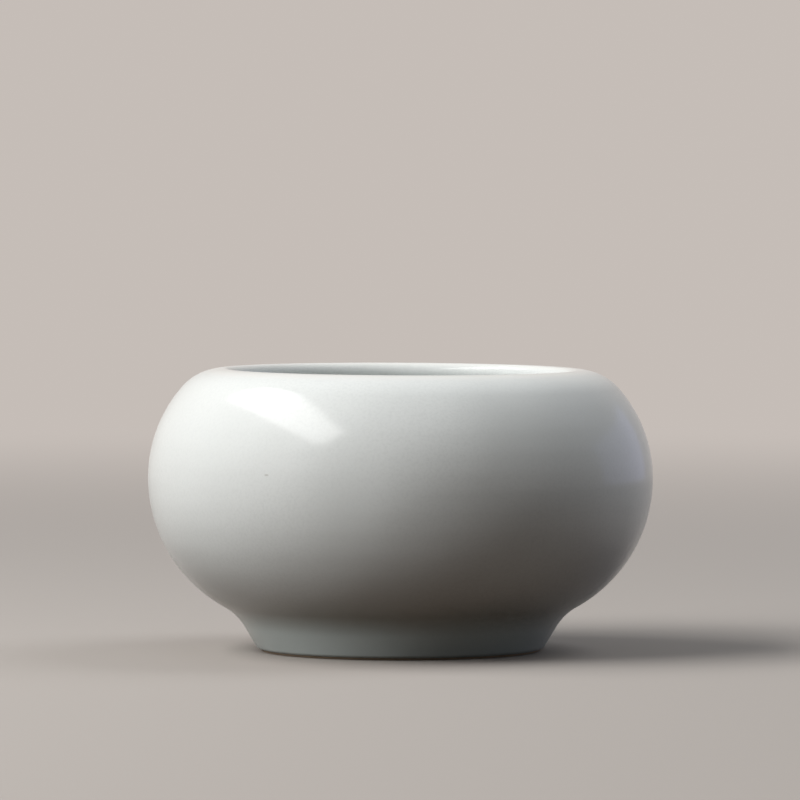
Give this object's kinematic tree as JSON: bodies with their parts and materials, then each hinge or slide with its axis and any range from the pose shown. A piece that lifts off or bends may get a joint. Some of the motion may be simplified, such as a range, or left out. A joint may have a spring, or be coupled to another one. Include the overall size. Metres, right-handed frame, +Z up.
{
  "type": "water coupe",
  "caption": "Squat round porcelain water pot for a writing desk, with an in-turned mouth, a full belly and a low coved foot ring, in pale glaze.",
  "frame": {"origin": "centre of the foot rim, on the table", "axes": "+Z up along the axis that the pot was thrown about; X and Y are level, and any turn about Z is the same"},
  "size_m": [0.09, 0.09, 0.0503],
  "materials": {
    "body_clay": "matte",
    "foot_clay": "matte",
    "glaze": "satin"
  },
  "bodies": {
    "root": {"bowl": "body_clay", "foot_ring": "foot_clay", "outer_glaze": "glaze", "inner_glaze": "glaze", "foot_well_glaze": "glaze"}
  },
  "joints": []
}
